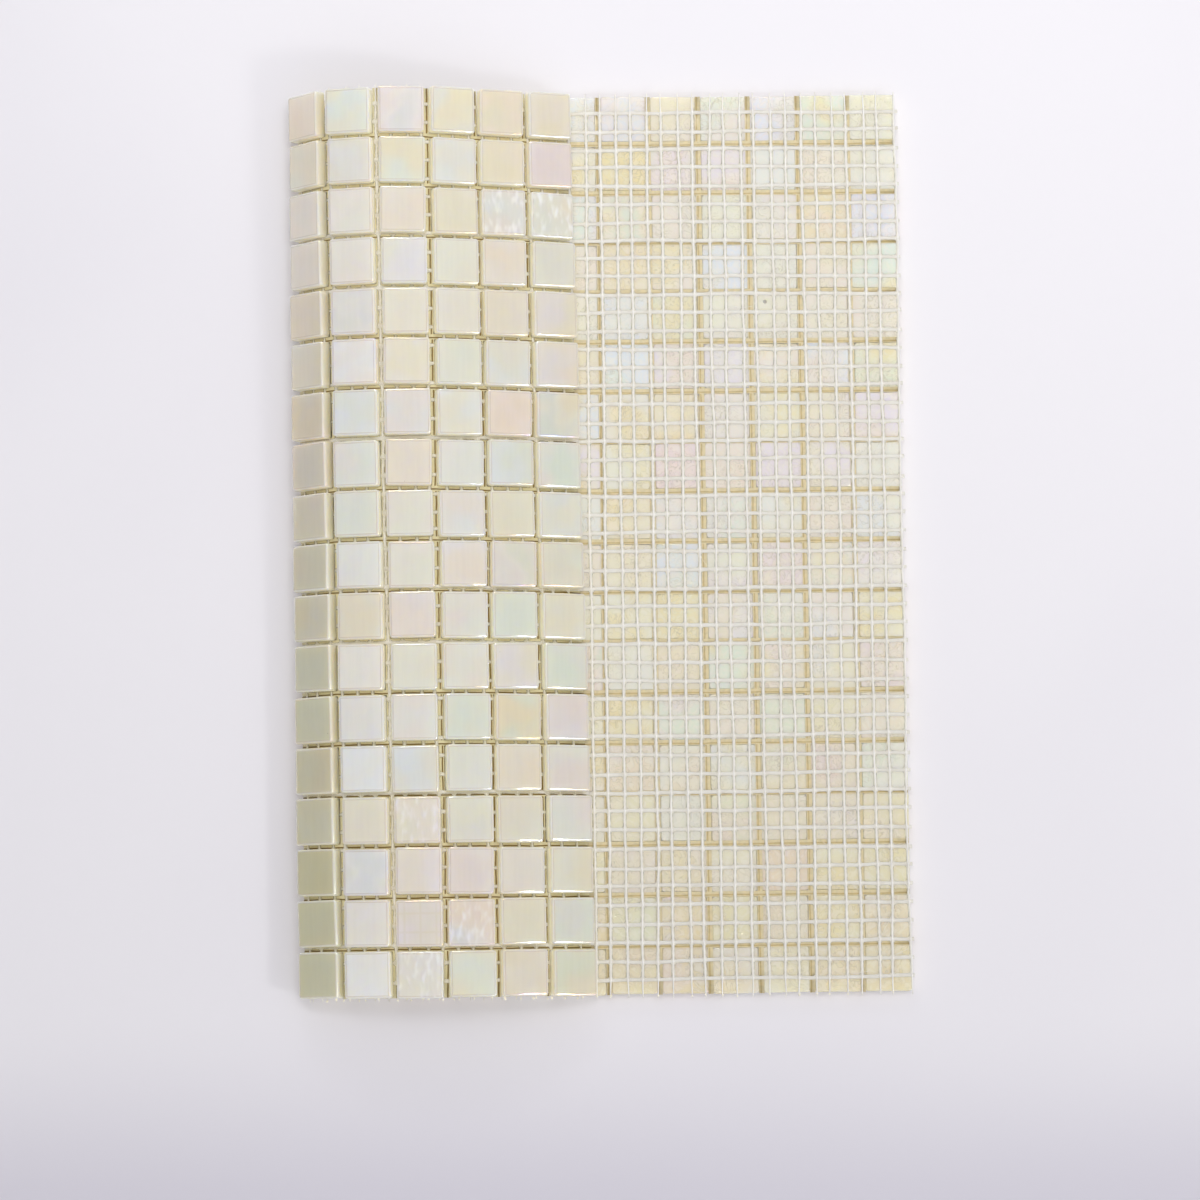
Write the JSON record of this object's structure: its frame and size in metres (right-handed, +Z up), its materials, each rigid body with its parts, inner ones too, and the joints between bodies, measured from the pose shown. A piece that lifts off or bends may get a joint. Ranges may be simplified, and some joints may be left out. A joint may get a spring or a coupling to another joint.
{
  "type": "mosaic tile sheet",
  "caption": "Mesh-backed sheet of small square glass mosaic tiles, lying face down with one end folded over to show the glossy faces.",
  "frame": {"origin": "middle of the sheet's box, on the floor it lies on", "axes": "+Z up; +Y along the tile columns, parallel to the crease; +X from the crease towards the free edge of the flat part"},
  "size_m": [0.2006, 0.297, 0.0259],
  "materials": {
    "glass_tile": "pressed glass, glossy, with a pale iridescent film",
    "mesh_yarn": "coated glass-fibre yarn, satin"
  },
  "bodies": {
    "root": {"tile_column_01": "glass_tile", "tile_column_02": "glass_tile", "tile_column_03": "glass_tile", "tile_column_04": "glass_tile", "tile_column_05": "glass_tile", "tile_column_06": "glass_tile", "tile_column_07": "glass_tile", "tile_column_08": "glass_tile", "tile_column_09": "glass_tile", "tile_column_10": "glass_tile", "tile_column_11": "glass_tile", "tile_column_12": "glass_tile", "tile_column_13": "glass_tile", "tile_column_14": "glass_tile", "tile_column_15": "glass_tile", "tile_column_16": "glass_tile", "tile_column_17": "glass_tile", "tile_column_18": "glass_tile", "mesh_weft_yarns": "mesh_yarn", "mesh_warp_yarns": "mesh_yarn"}
  },
  "joints": []
}
